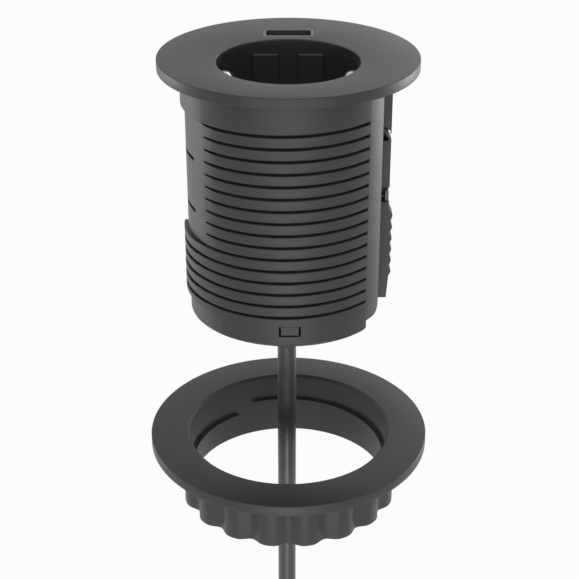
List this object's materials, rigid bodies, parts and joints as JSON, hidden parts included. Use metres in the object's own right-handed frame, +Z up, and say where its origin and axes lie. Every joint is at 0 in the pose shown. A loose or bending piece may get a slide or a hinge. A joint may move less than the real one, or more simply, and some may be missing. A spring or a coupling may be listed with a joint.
{
  "type": "desk socket unit",
  "caption": "Round flanged desk socket with an earthed two-pin recess and a charging port, a part-threaded tube, a lobed lock ring below it on the lead, and a tied hank with its plug.",
  "frame": {"origin": "on the tube's axis, in the plane of the flange's underside, which rests on the desk", "axes": "+Z up out of the desk, -Y the front seen in the picture, +X towards the side channel"},
  "size_m": [0.0844, 0.0844, 0.4452],
  "materials": {
    "black_plastic": "satin",
    "grey_plastic": "satin",
    "spring_steel": "satin",
    "brass": "satin",
    "board": "satin",
    "capacitor_can": "satin",
    "brown_wire": "matte",
    "blue_wire": "matte",
    "green_wire": "matte",
    "black_rubber": "matte",
    "black_cord": "satin",
    "black_tie": "matte"
  },
  "bodies": {
    "unit": {"housing": "black_plastic", "socket_insert": "black_plastic", "earth_clips": "spring_steel", "live_contact": "brass", "neutral_contact": "brass", "terminal_screws": "spring_steel", "contact_cover": "grey_plastic", "insert_screws": "spring_steel", "charging_port_shell": "spring_steel", "charging_port_tongue": "black_plastic", "charging_port_contacts": "brass", "charger_board": "board", "charger_transformer": "black_plastic", "board_capacitors": "capacitor_can", "board_chips": "black_plastic", "live_lead": "brown_wire", "neutral_lead": "blue_wire", "earth_lead": "green_wire", "bottom_cover": "black_plastic", "cord_grip_bar": "black_plastic", "grip_screws": "spring_steel", "cord_gland": "black_rubber", "cord_entry": "black_cord", "power_cord": "black_cord", "cord_hank": "black_cord", "cord_tie": "black_tie", "power_cord_tail": "black_cord", "plug_body": "black_cord", "plug_pins": "spring_steel", "plug_earth_strips": "spring_steel"},
    "ring": {"lock_ring": "black_plastic"}
  },
  "joints": [
    {"name": "ring_rise", "type": "slide", "parent": "unit", "child": "ring", "axis": [0, 0, 1], "range_m": [0, 0.0515]}
  ]
}
